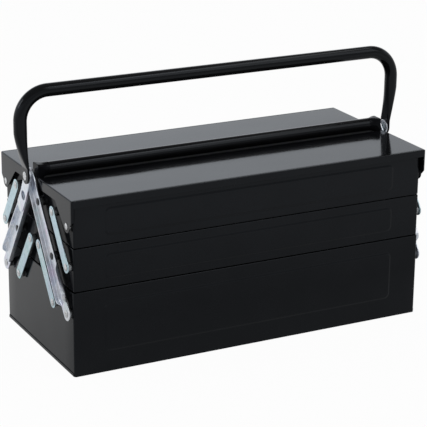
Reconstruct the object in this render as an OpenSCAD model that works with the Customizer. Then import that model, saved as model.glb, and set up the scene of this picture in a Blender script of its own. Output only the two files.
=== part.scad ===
// Cantilever tool box of folded sheet steel: a bottom box, and a front and a rear stack of
// a middle tray and a lidded top tray that swing out on riveted arms and parallel links.
// Millimetres. The length runs along X, the front is -Y, and the base stands on Z = 0.

/* [Bottom box] */
// Length of the bottom box over its end panels
box_len = 530; // [460:5:600]
// Depth of the bottom box from front to rear
box_depth = 238; // [228:1:250]
// Height of the bottom box up to its rim
box_h = 117.6; // [105:0.1:130]
// Thickness of the sheet steel
sheet = 0.9; // [0.7:0.1:1.2]
// Radius of the upright corners
corner_r = 3; // [2:0.5:4]
// Height that the base pan folds up over the end panels
base_lip_h = 4.5; // [3:0.5:7]
// Depth of the hem folded inward at each rim
hem_h = 7; // [5:0.5:9]

/* [Trays] */
// Height of a middle tray
mid_tray_h = 59.2; // [54:0.1:64]
// Height of a top tray up to its rim
top_tray_h = 62; // [58:0.5:66]
// Gap between one rim and the tray that rests above it
stack_gap = 0.8; // [0.5:0.1:1.2]
// Gap between the front and the rear trays
centre_gap = 1; // [0.6:0.1:2]
// How far each end of a middle tray stands in from the bottom box
mid_inset = 1; // [0.5:0.1:1.5]
// How far each end of a top tray stands in from the bottom box
top_inset = 1.4; // [1:0.1:1.8]
// How far the long walls of the trays stand in from the bottom box
long_inset = 0.5; // [0.2:0.1:1]
// Width of the ledge at the inner wall of a top tray
ledge_w = 13.5; // [12:0.5:16]

/* [Stamped panels] */
// Distance of each stamped panel from the ends of its wall
stamp_margin = 45; // [30:1:60]
// Distance of each tray's stamped panel from the tray's rim and base
stamp_edge = 13; // [10:1:16]
// Distance of the bottom box's stamped panel from its rim
stamp_top = 20; // [14:1:26]
// Distance of the bottom box's stamped panel from the base
stamp_base = 30; // [20:1:34]
// Height that a stamped panel stands out
stamp_out = 0.8; // [0.4:0.1:1]
// Corner radius of a stamped panel
stamp_r = 7; // [4:0.5:10]

/* [Lids] */
// Height of the lid's top above the rim of its tray
lid_rise = 4.6; // [4:0.1:6]
// How far the lid reaches out past the bottom box at each end
lid_over_x = 3.5; // [3.2:0.1:3.7]
// How far the lid reaches out past the bottom box along the front
lid_over_y = 6; // [5:0.1:7]
// Half of the gap between the two lids
lid_split = 13.5; // [12.5:0.5:15]
// Depth of the lid's long outer flange
lid_flange = 10; // [8:0.5:12]
// Depth of the lid's flange along each end
lid_end_flange = 14; // [12:0.5:15]
// Distance of the lid's hinge rivet in from the lid's outer face
lid_hinge_in = 18; // [16:0.5:20]
// Distance of the lid's hinge rivet below the lid's top
lid_hinge_drop = 38; // [37:0.5:39]
// Radius of the ear round the lid's hinge rivet
lid_ear_r = 9; // [8:0.5:10]
// Run of the slanted edge that joins the ear to the end flange
lid_ear_run = 30; // [24:1:32]

/* [Linkage] */
// Distance of the arm's lowest pivot in from the face of the bottom box
pivot_in = 11; // [10.5:0.5:14]
// Distance of the arm's lowest pivot below the rim of the bottom box
pivot_drop = 30.6; // [27:0.1:34]
// Height of the middle pivots above the underside of the middle tray
mid_pivot_up = 33.4; // [31:0.1:35]
// Height of the upper pivots above the underside of the top tray
top_pivot_up = 35.2; // [33:0.1:36]
// Distance of the arm's upper pivot from the inner wall of the top tray
top_pivot_in = 16.5; // [15:0.5:18]
// Spacing of the arm and the links that run parallel to it
link_spacing = 47; // [44:0.5:47]
// Space between the end panel of the bottom box and the arms
arm_gap = 4.5; // [4.3:0.1:5.5]
// Thickness of the arms' and links' strip
arm_t = 1.5; // [1.2:0.1:2]
// Width of the long arms at their upper end
arm_w = 20; // [18:0.5:20]
// Width of the long arms at their shoulder
arm_root_w = 28; // [24:0.5:30]
// Width of the flat tongue at the arm's lowest pivot
tongue_w = 22; // [20:0.5:22]
// Depth of the long arms' folded flanges, web included
arm_flange = 6.5; // [5:0.5:8]
// Depth of the front arm's outer flange beside its upper pivots, web included
arm_lip = 3; // [2.5:0.5:4]
// Length of the flat tongue from the lowest pivot to where the flanges start
arm_tongue = 14; // [12:1:20]
// Length of the shoulder over which the tongue widens
shoulder_run = 10; // [8:1:14]
// Distance that the front arm's outer flange stays low below its middle pivot
lip_run = 18; // [14:1:24]
// Length of the front arm past its upper pivot
front_arm_over = 38; // [30:1:40]
// Length of the rear arm's channel past its upper pivot
rear_arm_over = 3; // [0:0.5:4]
// Sideways gap where the rear arm's top crosses the front arm
cross_gap = 1; // [0.8:0.1:2]
// Width of the parallel links
link_w = 16; // [14:0.5:17]

/* [Rivets] */
// Radius of a pivot rivet's shank
pin_r = 3; // [2.5:0.1:3.5]
// Radius of a pivot rivet's head
head_r = 5; // [4.5:0.1:5.5]
// Height of a rivet's head
head_h = 1.4; // [1.2:0.1:1.8]
// Radius of the spacer round a pivot
spacer_r = 6; // [5.6:0.1:6.4]
// Radial clearance of a rivet that something turns on
pin_clear = 0.05; // [0.02:0.01:0.1]
// Radial clearance of the pivots at the upper end of each link
link_clear = 0.3; // [0.2:0.05:0.4]
// Sideways clearance beside each turning piece
side_clear = 0.15; // [0.1:0.05:0.3]
// Radius of a lid hinge rivet's shank
lid_pin_r = 2.5; // [2:0.1:3]

/* [Carry handle] */
// Diameter of the handle's tube
tube_d = 18; // [16:0.5:20]
// Wall of the handle's tube
tube_wall = 1.2; // [1:0.1:1.5]
// Height of the handle's crossbar above its pivots
bow_h = 113.5; // [100:1:130]
// Bend radius at the middle of the tube
bow_bend = 39; // [30:1:42]
// How far each leg stands out from its flattened end
bow_splay = 6.3; // [4:0.1:8]
// Height of the handle's pivots above the lids
bow_pivot_up = 1; // [0:0.5:2]
// Thickness of the handle's flattened ends
paddle_t = 3; // [2.6:0.1:3.6]
// Width of the handle's flattened ends
paddle_w = 22; // [20:0.5:24]
// Height above the pivot where the flattened end reaches its full width
paddle_h = 18; // [14:1:22]
// Length over which the round tube becomes flat
pinch_h = 36; // [28:1:40]
// Radius of the handle pivot's head
bow_head_r = 6; // [5:0.5:7]

/* [Grab bar] */
// Height of the grab bar's middle above the lids
bar_up = 7.5; // [6:0.5:9]
// Length over which the grab bar's end is pinched flat
bar_pinch = 12; // [9:1:16]
// Thickness of the grab bar's end tab
tab_t = 2.8; // [2.4:0.1:3]
// Half width of the grab bar's end tab above the tray
tab_half = 10; // [9:0.5:11]
// Width of the tab's foot that is riveted to the tray
foot_w = 11; // [10:0.5:12]
// Length of the tab's foot below the rim of the tray
foot_h = 22; // [21:0.5:22.5]
// Radius of the tab's two rivets
tab_pin_r = 2; // [1.6:0.1:2.4]
// Radius of the tab rivets' heads
tab_head_r = 3; // [2.6:0.1:3.2]

/* [Hidden] */
$fn = 64;
hull_fn = 32;
paint = "#1b1c1f";
zinc = "#b9c0c6";
eps = 0.01;
seat_gap = 0.3;
swing_clear = 0.8;

// Half sizes, with Y counted from the middle towards the long side
box_x = box_len / 2;
box_y = box_depth / 2;
mid_x = box_x - mid_inset;
top_x = box_x - top_inset;
tray_out_y = box_y - long_inset;
tray_in_y = centre_gap / 2;

// Heights of the stack
mid_z0 = box_h + stack_gap;
mid_z1 = mid_z0 + mid_tray_h;
top_z0 = mid_z1 + stack_gap;
top_z1 = top_z0 + top_tray_h;
lid_z = top_z1 + lid_rise;
lid_x = box_x + lid_over_x;
lid_y = box_y + lid_over_y;

// Pivots of one side as [distance from the middle, height]
low_pivot = [box_y - pivot_in, box_h - pivot_drop];
top_pivot = [tray_in_y + top_pivot_in, top_z0 + top_pivot_up];
mid_share = (mid_z0 + mid_pivot_up - low_pivot[1]) / (top_pivot[1] - low_pivot[1]);
mid_pivot = low_pivot + mid_share * (top_pivot - low_pivot);
link_low = low_pivot - [link_spacing, 0];
link_mid_in = mid_pivot - [link_spacing, 0];
link_mid_out = mid_pivot + [link_spacing, 0];
link_top = top_pivot + [link_spacing, 0];
hinge = [lid_y - lid_hinge_in, lid_z - lid_hinge_drop];
bow_pivot = [0, lid_z + bow_pivot_up];
bow_z = bow_pivot[1] + bow_h;
bar_z = lid_z + bar_up;

// The long arms between their outer pivots: length, unit vector up along them, and lean inwards
arm_len = norm(top_pivot - low_pivot);
arm_dir = (top_pivot - low_pivot) / arm_len;
arm_lean = atan2(-arm_dir[0], arm_dir[1]);

// Places along X, from the panels outwards
arm_x = box_x + arm_gap;
front_flange_x = arm_x + arm_flange;
tongue_x = front_flange_x + cross_gap;
paddle_x = tongue_x + arm_t + seat_gap;
leg_x = paddle_x + paddle_t / 2 + bow_splay;
tube_r = tube_d / 2;

// Mirror-image copies of the children
module at_ends() { for (side = [0, 1]) mirror([side, 0, 0]) children(); }
module at_sides() { for (side = [0, 1]) mirror([0, side, 0]) children(); }
module left() { mirror([1, 0, 0]) children(); }
module front() { mirror([0, 1, 0]) children(); }

// A flat outline drawn in [Y, Z] that gets its thickness along X, from x0 outwards
module along_x(x0, t) { translate([x0, 0, 0]) rotate([90, 0, 90]) linear_extrude(t) children(); }

// A strip outline with round ends between two pivots
module strip_2d(a, b, w) {
    reach = b - a;
    translate(a) circle(d = w);
    translate(b) circle(d = w);
    translate(a) rotate(atan2(reach[1], reach[0])) translate([0, -w / 2]) square([norm(reach), w]);
}

// A rectangle outline with its four corners rounded
module round_rect_2d(low, high, r) {
    translate([low[0] + r, low[1]]) square([high[0] - low[0] - 2 * r, high[1] - low[1]]);
    translate([low[0], low[1] + r]) square([high[0] - low[0], high[1] - low[1] - 2 * r]);
    for (x = [low[0] + r, high[0] - r], y = [low[1] + r, high[1] - r]) translate([x, y]) circle(r);
}

// An upright block with rounded corners
module round_block(x, y0, y1, z0, z1, r) {
    translate([0, 0, z0]) linear_extrude(z1 - z0) round_rect_2d([-x, y0], [x, y1], r);
}

// A stamped panel's block on the wall whose outer face is at y
module stamp(x, y, z0, z1) {
    half = x - stamp_margin;
    translate([0, y + stamp_out, 0]) rotate([90, 0, 0])
        linear_extrude(stamp_out + eps) round_rect_2d([-half, z0], [half, z1], stamp_r);
}

// Holes of radius r through the end panels, at pivots counted from the middle
module end_holes(pivots, r) {
    at_ends() for (p = pivots) along_x(box_x - 4 * sheet, 8 * sheet) translate(p) circle(r);
}

// Stamped panels on the wall whose outer face is at y, and on the opposite wall if both
module stamps(x, y, z0, z1, both) {
    stamp(x, y, z0, z1);
    if (both) front() stamp(x, y, z0, z1);
}

// The four walls and inward hem of a box, with stamped panels between the heights given
module walls(x, y0, y1, z0, z1, stamp_z0, stamp_z1, both = false) {
    r_in = corner_r - sheet;
    difference() {
        union() {
            round_block(x, y0, y1, z0, z1, corner_r);
            stamps(x, y1, stamp_z0, stamp_z1, both);
        }
        round_block(x - sheet, y0 + sheet, y1 - sheet, z0 - eps, z1 - hem_h, r_in);
        round_block(x - 2 * sheet, y0 + 2 * sheet, y1 - 2 * sheet, z0, z1 + eps, r_in - sheet / 2);
        stamps(x, y1 - sheet, stamp_z0, stamp_z1, both);
    }
}

// A rivet along X through a pivot, from its tail inside x0 to its head outside x1
module rivet(p, x0, x1, r, big_r, h = head_h) {
    dome_r = (big_r * big_r + h * h) / (2 * h);
    translate([0, p[0], p[1]]) rotate([0, 90, 0]) {
        translate([0, 0, x0 - eps]) cylinder(r = r, h = x1 - x0 + 2 * eps);
        translate([0, 0, x0 - h]) cylinder(r = big_r, h = h);
        intersection() {
            translate([0, 0, x1]) cylinder(r = big_r, h = h);
            translate([0, 0, x1 + h - dome_r]) sphere(dome_r);
        }
    }
}

// The pivot rivets of one level: through the end panel, its spacers and the arm or link
module pivot_rivets(pivots, panel_x) {
    head_x = arm_x + arm_t + side_clear;
    color(zinc) at_ends() for (p = pivots) rivet(p, panel_x - sheet, head_x, pin_r, head_r);
}

// The washers that hold the arms and links off a panel
module spacers(pivots, panel_x) {
    t = arm_x - side_clear - panel_x;
    color(zinc) at_ends() for (p = pivots) along_x(panel_x, t) translate(p) difference() {
        circle(spacer_r);
        circle(pin_r);
    }
}

module bottom_box() {
    color(paint) difference() {
        walls(box_x, -box_y, box_y, sheet, box_h, stamp_base, box_h - stamp_top, both = true);
        at_sides() end_holes([low_pivot, link_low], pin_r);
    }
}

module base_pan() {
    lip_len = box_depth - 2 * corner_r;
    color(paint) {
        round_block(box_x, -box_y, box_y, 0, sheet, corner_r);
        at_ends() translate([box_x, -lip_len / 2, 0]) {
            cube([sheet, lip_len, base_lip_h]);
            translate([-sheet, 0, 0]) cube([2 * sheet, lip_len, sheet]);
        }
    }
}

module box_rivets() {
    at_sides() pivot_rivets([low_pivot, link_low], box_x);
}

module box_spacers() {
    at_sides() spacers([low_pivot, link_low], box_x);
}

mid_pivots = [mid_pivot, link_mid_in, link_mid_out];

module middle_tray() {
    color(paint) difference() {
        union() {
            walls(mid_x, tray_in_y, tray_out_y, mid_z0 + sheet, mid_z1,
                mid_z0 + stamp_edge, mid_z1 - stamp_edge);
            round_block(mid_x, tray_in_y, tray_out_y, mid_z0, mid_z0 + sheet, corner_r);
        }
        end_holes(mid_pivots, pin_r);
    }
}

top_pivots = [top_pivot, link_top];
tab_z0 = top_z1 + seat_gap;
foot_y = tray_in_y + seat_gap + foot_w / 2;
foot_pins = [[foot_y, top_z1 - hem_h - tab_head_r - 2 * seat_gap],
    [foot_y, top_z1 - foot_h + tab_head_r + 1]];

module top_tray(more_pins) {
    color(paint) difference() {
        union() {
            walls(top_x, tray_in_y, tray_out_y, top_z0 + sheet, top_z1,
                top_z0 + stamp_edge, top_z1 - stamp_edge);
            round_block(top_x, tray_in_y, tray_out_y, top_z0, top_z0 + sheet, corner_r);
            translate([-top_x + sheet, tray_in_y + eps, top_z1 - sheet])
                cube([2 * (top_x - sheet), ledge_w, sheet]);
        }
        end_holes(top_pivots, pin_r);
        end_holes([hinge], lid_pin_r);
        end_holes(more_pins, tab_pin_r);
    }
}

// Outline of the lid's end flange: a strip, the slanted edge and the ear round the hinge
module lid_end_2d() {
    strip_z = lid_z - lid_end_flange;
    ear_low = hinge + lid_ear_r * [-0.7, -0.7];
    translate([lid_split, strip_z]) square([lid_y - lid_split, lid_end_flange]);
    translate(hinge) circle(lid_ear_r);
    polygon([[lid_y, strip_z + eps], [lid_y, hinge[1] + lid_ear_r], [hinge[0] + lid_ear_r, hinge[1]],
        hinge, ear_low, [ear_low[0] - lid_ear_run, strip_z + eps]]);
}

module lid() {
    color(paint) difference() {
        intersection() {
            difference() {
                round_block(lid_x, 0, lid_y, hinge[1] - 2 * lid_ear_r, lid_z, corner_r);
                round_block(lid_x - sheet, -sheet, lid_y - sheet, 0, lid_z - sheet, corner_r - sheet);
            }
            union() {
                translate([-lid_x, lid_split, lid_z - sheet - eps])
                    cube([2 * lid_x, lid_y - lid_split, 2 * sheet]);
                translate([-lid_x, lid_y - 2 * corner_r, lid_z - lid_flange])
                    cube([2 * lid_x, 3 * corner_r, lid_flange + eps]);
                at_ends() along_x(lid_x - corner_r, 2 * corner_r) lid_end_2d();
            }
        }
        at_ends() along_x(lid_x - 4 * sheet, 8 * sheet) translate(hinge) circle(lid_pin_r + pin_clear);
    }
    color(paint) translate([-lid_x + tab_half, lid_split, top_z1 + seat_gap])
        cube([2 * (lid_x - tab_half), sheet, lid_rise - seat_gap - sheet / 2]);
}

module lid_rivets() {
    ear_x = lid_x - sheet - side_clear;
    color(zinc) at_ends() {
        rivet(hinge, top_x - sheet, lid_x + side_clear, lid_pin_r, head_r - 0.5, head_h - 0.2);
        along_x(top_x, ear_x - top_x) translate(hinge) difference() {
            circle(spacer_r);
            circle(lid_pin_r);
        }
    }
}

// Places children drawn along a long arm: X runs up it from its lowest pivot, Y towards the middle
module on_arm() { translate(low_pivot) rotate(90 + arm_lean) children(); }

// Outline of a long arm: round tongue, shoulder, and a taper to the round end past its upper pivot
module arm_2d(past, inset = 0) {
    tip = arm_len + past;
    shoulder = arm_tongue + shoulder_run;
    tongue = tongue_w / 2 - inset;
    root = arm_root_w / 2 - inset;
    end = arm_w / 2 - inset;
    on_arm() {
        circle(tongue);
        translate([tip, 0]) circle(end);
        polygon([[0, -tongue], [arm_tongue, -tongue], [shoulder, -root], [tip, -end],
            [tip, end], [shoulder, root], [arm_tongue, tongue], [0, tongue]]);
    }
}

// The folded channel of a long arm: the web, and flanges along its edges up to the depth given
module channel(past, depth) {
    difference() {
        union() {
            along_x(arm_x, arm_t) arm_2d(past);
            along_x(arm_x, depth) intersection() {
                arm_2d(past);
                on_arm() translate([arm_tongue, -arm_root_w]) square([arm_len + arm_w, 2 * arm_root_w]);
            }
        }
        along_x(arm_x + arm_t, depth) arm_2d(past, arm_t);
        for (p = [low_pivot, mid_pivot, top_pivot])
            along_x(arm_x - eps, arm_t + 2 * eps) translate(p) circle(pin_r + pin_clear);
    }
}

// The front arm's outer flange is only a low lip from below its middle pivot upwards
module front_arm() {
    lip_from = norm(mid_pivot - low_pivot) - lip_run;
    color(zinc) difference() {
        channel(front_arm_over, arm_flange);
        along_x(arm_x + arm_lip, arm_flange) on_arm()
            translate([lip_from, -arm_root_w]) square([arm_len + arm_w, arm_root_w]);
    }
}

// The rear arm's flanges are deeper, up to the handle plates that are welded on them
module rear_arm() { color(zinc) channel(rear_arm_over, arm_flange + cross_gap); }

// Each handle plate lies on a rear arm's flanges and reaches up past the front arm to the bow's pivot
module handle_plates() {
    plate_low = top_pivot - arm_w * arm_dir;
    color(zinc) at_ends() difference() {
        along_x(tongue_x, arm_t) {
            strip_2d(plate_low, top_pivot, arm_w);
            strip_2d(top_pivot, bow_pivot, arm_w);
        }
        along_x(tongue_x - eps, arm_t + 2 * eps) {
            translate(top_pivot) circle(head_r + 1.5);
            translate(bow_pivot) circle(pin_r);
        }
    }
}

// A parallel link: its lower hole runs on the rivet, its upper hole has room to spare
module link(low, high) {
    color(zinc) along_x(arm_x, arm_t) difference() {
        strip_2d(low, high, link_w);
        translate(low) circle(pin_r + pin_clear);
        translate(high) circle(pin_r + link_clear);
    }
}

// The bent tube of the handle, at the radius given
module bow_tube(r) {
    straight_x = leg_x - bow_bend;
    leg_top = bow_z - bow_bend;
    leg_low = bow_pivot[1] + paddle_h + pinch_h;
    translate([-straight_x, 0, bow_z]) rotate([0, 90, 0]) cylinder(r = r, h = 2 * straight_x);
    at_ends() {
        translate([straight_x, 0, leg_top]) rotate([90, 0, 0])
            rotate_extrude(angle = 90) translate([bow_bend, 0]) circle(r);
        translate([leg_x, 0, leg_low]) cylinder(r = r, h = leg_top - leg_low);
    }
}

module carry_handle() {
    flat_z = bow_pivot[1] + paddle_h;
    color(paint) difference() {
        union() {
            bow_tube(tube_r);
            at_ends() {
                hull($fn = hull_fn) {
                    translate([leg_x, 0, flat_z + pinch_h]) cylinder(r = tube_r, h = eps);
                    translate([paddle_x, -paddle_w / 2, flat_z]) cube([paddle_t, paddle_w, eps]);
                }
                along_x(paddle_x, paddle_t) {
                    translate(bow_pivot) circle(d = paddle_w);
                    translate([-paddle_w / 2, bow_pivot[1]]) square([paddle_w, paddle_h + eps]);
                }
            }
        }
        bow_tube(tube_r - tube_wall);
        at_ends() along_x(paddle_x - eps, paddle_t + 2 * eps) translate(bow_pivot) circle(pin_r + pin_clear);
    }
}

// Each handle pivot is fixed flush in the rear arm's plate and has its head outside
module handle_rivets() {
    head_x = paddle_x + paddle_t + side_clear;
    dome_r = (bow_head_r * bow_head_r + head_h * head_h) / (2 * head_h);
    color(zinc) at_ends() translate([0, bow_pivot[0], bow_pivot[1]]) rotate([0, 90, 0]) {
        translate([0, 0, tongue_x]) cylinder(r = pin_r, h = head_x - tongue_x + eps);
        intersection() {
            translate([0, 0, head_x]) cylinder(r = bow_head_r, h = head_h);
            translate([0, 0, head_x + head_h - dome_r]) sphere(dome_r);
        }
    }
}

// Outline of the grab bar's end tab: its lower rear corner is cut along the rear tray's swing
module tab_2d(z0, z1) {
    difference() {
        round_rect_2d([-tab_half, z0], [tab_half, z1], 4);
        translate([-tray_in_y, top_z1]) rotate(-arm_lean) translate([-2 * tab_half, -tab_half])
            square([2 * tab_half + tray_in_y, tab_half + swing_clear]);
    }
}

// The straight tube of the grab bar, with each end pinched flat above the front top tray
module grab_bar() {
    tab_z1 = bar_z + tube_r;
    tube_end = top_x - bar_pinch;
    color(paint) difference() {
        union() {
            translate([-tube_end, 0, bar_z]) rotate([0, 90, 0]) cylinder(r = tube_r, h = 2 * tube_end);
            at_ends() hull($fn = hull_fn) {
                translate([tube_end - eps, 0, bar_z]) rotate([0, 90, 0]) cylinder(r = tube_r, h = eps);
                along_x(top_x, tab_t) tab_2d(tab_z0, tab_z1);
            }
        }
        translate([-tube_end + 2, 0, bar_z]) rotate([0, 90, 0])
            cylinder(r = tube_r - tube_wall, h = 2 * (tube_end - 2));
    }
}

// The feet are welded under the bar's flat ends and riveted to the front top tray
module grab_bar_feet() {
    color(paint) at_ends() along_x(top_x, tab_t) difference() {
        round_rect_2d([foot_y - foot_w / 2, top_z1 - foot_h], [foot_y + foot_w / 2, top_z1 - 2], 4);
        for (p = foot_pins) translate(p) circle(tab_pin_r);
    }
    color(paint) at_ends() translate([top_x, foot_y - foot_w / 2, top_z1 - 6])
        cube([tab_t, foot_w, tab_z0 - top_z1 + 6]);
}

module grab_bar_rivets() {
    color(zinc) at_ends() for (p = foot_pins)
        rivet(p, top_x - sheet, top_x + tab_t, tab_pin_r, tab_head_r);
}

bottom_box();
base_pan();
box_rivets();
box_spacers();
front() middle_tray();  // front_middle_tray
middle_tray();  // rear_middle_tray
front() pivot_rivets(mid_pivots, mid_x);  // front_middle_rivets
pivot_rivets(mid_pivots, mid_x);  // rear_middle_rivets
front() spacers(mid_pivots, mid_x);  // front_middle_spacers
spacers(mid_pivots, mid_x);  // rear_middle_spacers
front() top_tray(foot_pins);  // front_top_tray
top_tray([]);  // rear_top_tray
front() pivot_rivets(top_pivots, top_x);  // front_top_rivets
pivot_rivets(top_pivots, top_x);  // rear_top_rivets
front() spacers(top_pivots, top_x);  // front_top_spacers
spacers(top_pivots, top_x);  // rear_top_spacers
front() lid();  // front_lid
lid();  // rear_lid
front() lid_rivets();  // front_lid_rivets
lid_rivets();  // rear_lid_rivets
left() front() front_arm();  // front_arm_left
front() front_arm();  // front_arm_right
left() rear_arm();  // rear_arm_left
rear_arm();  // rear_arm_right
left() front() link(link_low, link_mid_in);  // front_lower_link_left
front() link(link_low, link_mid_in);  // front_lower_link_right
left() link(link_low, link_mid_in);  // rear_lower_link_left
link(link_low, link_mid_in);  // rear_lower_link_right
left() front() link(link_mid_out, link_top);  // front_upper_link_left
front() link(link_mid_out, link_top);  // front_upper_link_right
left() link(link_mid_out, link_top);  // rear_upper_link_left
link(link_mid_out, link_top);  // rear_upper_link_right
handle_plates();
carry_handle();
handle_rivets();
front() grab_bar();
front() grab_bar_feet();
front() grab_bar_rivets();
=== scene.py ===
import bmesh
import bpy
import numpy as np
from mathutils import Matrix


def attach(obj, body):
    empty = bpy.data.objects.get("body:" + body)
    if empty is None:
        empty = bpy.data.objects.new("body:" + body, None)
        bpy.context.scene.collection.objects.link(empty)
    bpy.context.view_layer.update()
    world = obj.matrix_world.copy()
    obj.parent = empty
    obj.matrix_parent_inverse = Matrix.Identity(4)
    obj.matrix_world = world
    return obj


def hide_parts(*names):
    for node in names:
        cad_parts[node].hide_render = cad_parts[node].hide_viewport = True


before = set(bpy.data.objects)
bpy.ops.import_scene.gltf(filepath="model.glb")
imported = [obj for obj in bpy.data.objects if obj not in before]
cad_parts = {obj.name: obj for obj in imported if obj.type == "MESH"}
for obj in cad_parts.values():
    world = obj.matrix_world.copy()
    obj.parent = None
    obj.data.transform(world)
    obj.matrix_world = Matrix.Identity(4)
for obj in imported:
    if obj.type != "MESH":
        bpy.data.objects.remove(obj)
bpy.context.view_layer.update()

# ---------------------------------------------------------------- bottom box
# The body of the box is one sheet of 0.9 mm steel folded round four upright corners. Its rim is
# folded back inwards as a hem, and each long wall has a shallow stamped panel that stiffens it.
# Black stoved enamel covers it inside and out. Sizes are in millimetres, and MM turns them into metres.
MM = 0.001
box_x, box_y, box_h = 265.0, 119.0, 117.6
sheet = 0.9
corner_r = 3.0
hem_h = 7.0
floor_fold_r = 1.6
stamp_margin, stamp_r, stamp_out, flank = 45.0, 7.0, 0.8, 1.5
close_run = 9.0
box_stamp = (30.0, 97.6)
merge_distance = 2e-6


def smooth(t):
    """The smooth step 3t^2 - 2t^3, held at 0 below t = 0 and at 1 above t = 1."""
    t = np.clip(t, 0.0, 1.0)
    return t * t * (3.0 - 2.0 * t)


def arc(cx, cy, r, a0, a1, n):
    """n + 1 points (cx + r cos a, cy + r sin a) of a circle, with a from a0 to a1 in degrees."""
    a = np.radians(np.linspace(a0, a1, n + 1))
    return np.column_stack([cx + r * np.cos(a), cy + r * np.sin(a)])


def grid_quads(rows, columns, ring, wrap):
    """Quads that join each point of a grid to its next row and column. Point (i, j) has the number
    i * columns + j. After the last row comes the first in a ring, and after the last column the first
    where wrap is on, so i + 1 and j + 1 are taken as remainders."""
    i = np.arange(rows if ring else rows - 1)[:, None]
    j = np.arange(columns if wrap else columns - 1)[None, :]
    i1, j1 = (i + 1) % rows, (j + 1) % columns
    quads = np.stack([i * columns + j, i * columns + j1, i1 * columns + j1, i1 * columns + j], -1)
    return quads.reshape(-1, 4)


class Shell:
    """Collects the grids and flat faces of one piece, in millimetres."""

    def __init__(self):
        self.points, self.faces, self.count = [], [], 0

    def add(self, points, *faces):
        """Points, and arrays of faces whose numbers count from the first of these points."""
        points = points.reshape(-1, 3)
        self.points.append(points)
        self.faces += [np.asarray(block) + self.count for block in faces]
        self.count += len(points)

    def polygon(self, points):
        """One flat face round all the points."""
        self.add(points, [np.arange(len(points))])

    def grid(self, p, ring=False, wrap=True):
        """A grid p[row, column] of points, whose rows are loops, or open lines with wrap off. In a ring
        the last row is joined to the first. Otherwise a flat face closes each of the two."""
        rows, columns = p.shape[:2]
        ends = [] if ring else [[np.arange(columns)], [np.arange(columns) + (rows - 1) * columns]]
        self.add(p, grid_quads(rows, columns, ring, wrap), *ends)


def put(name, shell, body, slot, material, *nodes, mirror=(), sharp=38):
    """Makes the piece's mesh, closes its seams, points its faces outwards and rides it on a body.
    mirror holds the axes, 0 for X and 1 for Y, whose coordinates change sign first."""
    points = np.concatenate(shell.points) * MM
    for axis in mirror:
        points[:, axis] *= -1
    faces = [face for block in shell.faces for face in block.tolist()]
    mesh = bpy.data.meshes.new(name)
    mesh.from_pydata(points.tolist(), [], faces)
    solid = bmesh.new()
    solid.from_mesh(mesh)
    bmesh.ops.remove_doubles(solid, verts=solid.verts, dist=merge_distance)
    bmesh.ops.recalc_face_normals(solid, faces=solid.faces)
    solid.to_mesh(mesh)
    solid.free()
    mesh.shade_smooth()
    mesh.set_sharp_from_angle(angle=np.radians(sharp))
    mesh.materials.append(material)
    piece = bpy.data.objects.new(name, mesh)
    bpy.context.scene.collection.objects.link(piece)
    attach(piece, body)
    if nodes:
        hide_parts(*nodes)
    return piece


def nodes_of(name):
    """A new material, its node tree and its Principled shader."""
    material = bpy.data.materials.new(name)
    material.use_nodes = True
    tree = material.node_tree
    return material, tree, tree.nodes["Principled BSDF"]


def node(tree, kind, inputs=(), **settings):
    """Adds a node, sets its properties, and sets or links its inputs by name or number."""
    made = tree.nodes.new(kind)
    for key, value in settings.items():
        setattr(made, key, value)
    for key, value in dict(inputs).items():
        if isinstance(value, bpy.types.NodeSocket):
            tree.links.new(value, made.inputs[key])
        else:
            made.inputs[key].default_value = value
    return made


def ramp(tree, factor, *stops):
    """A colour ramp node through (position, grey or colour) stops."""
    made = node(tree, "ShaderNodeValToRGB", {"Fac": factor})
    elements = made.color_ramp.elements
    while len(elements) < len(stops):
        elements.new(0.5)
    for element, (position, value) in zip(elements, stops):
        element.position = position
        element.color = (*value, 1) if isinstance(value, tuple) else (value, value, value, 1)
    return made.outputs["Color"]


def noise(tree, place, scale, detail=3.0, roughness=0.5):
    """Noise on the piece's own coordinates, with the number of features per metre given."""
    made = node(tree, "ShaderNodeTexNoise",
                {"Vector": place, "Scale": scale, "Detail": detail, "Roughness": roughness})
    return made.outputs["Fac"]


def stretched(tree, place, scale, turn=0.0):
    """The piece's coordinates scaled by axis, after a turn about X in radians."""
    made = node(tree, "ShaderNodeMapping", {"Vector": place, "Scale": scale, "Rotation": (turn, 0, 0)})
    return made.outputs[0]


def math(tree, operation, *values):
    """The result of a Math node on two or three numbers or sockets."""
    return node(tree, "ShaderNodeMath", dict(enumerate(values)), operation=operation).outputs[0]


def mixed(tree, factor, a, b, blend="MIX"):
    """Colour a blended into colour b by a factor: into b itself, or into a * b with blend MULTIPLY."""
    made = node(tree, "ShaderNodeMix", {"Factor": factor, 6: a, 7: b}, data_type="RGBA", blend_type=blend)
    return made.outputs[2]


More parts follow.
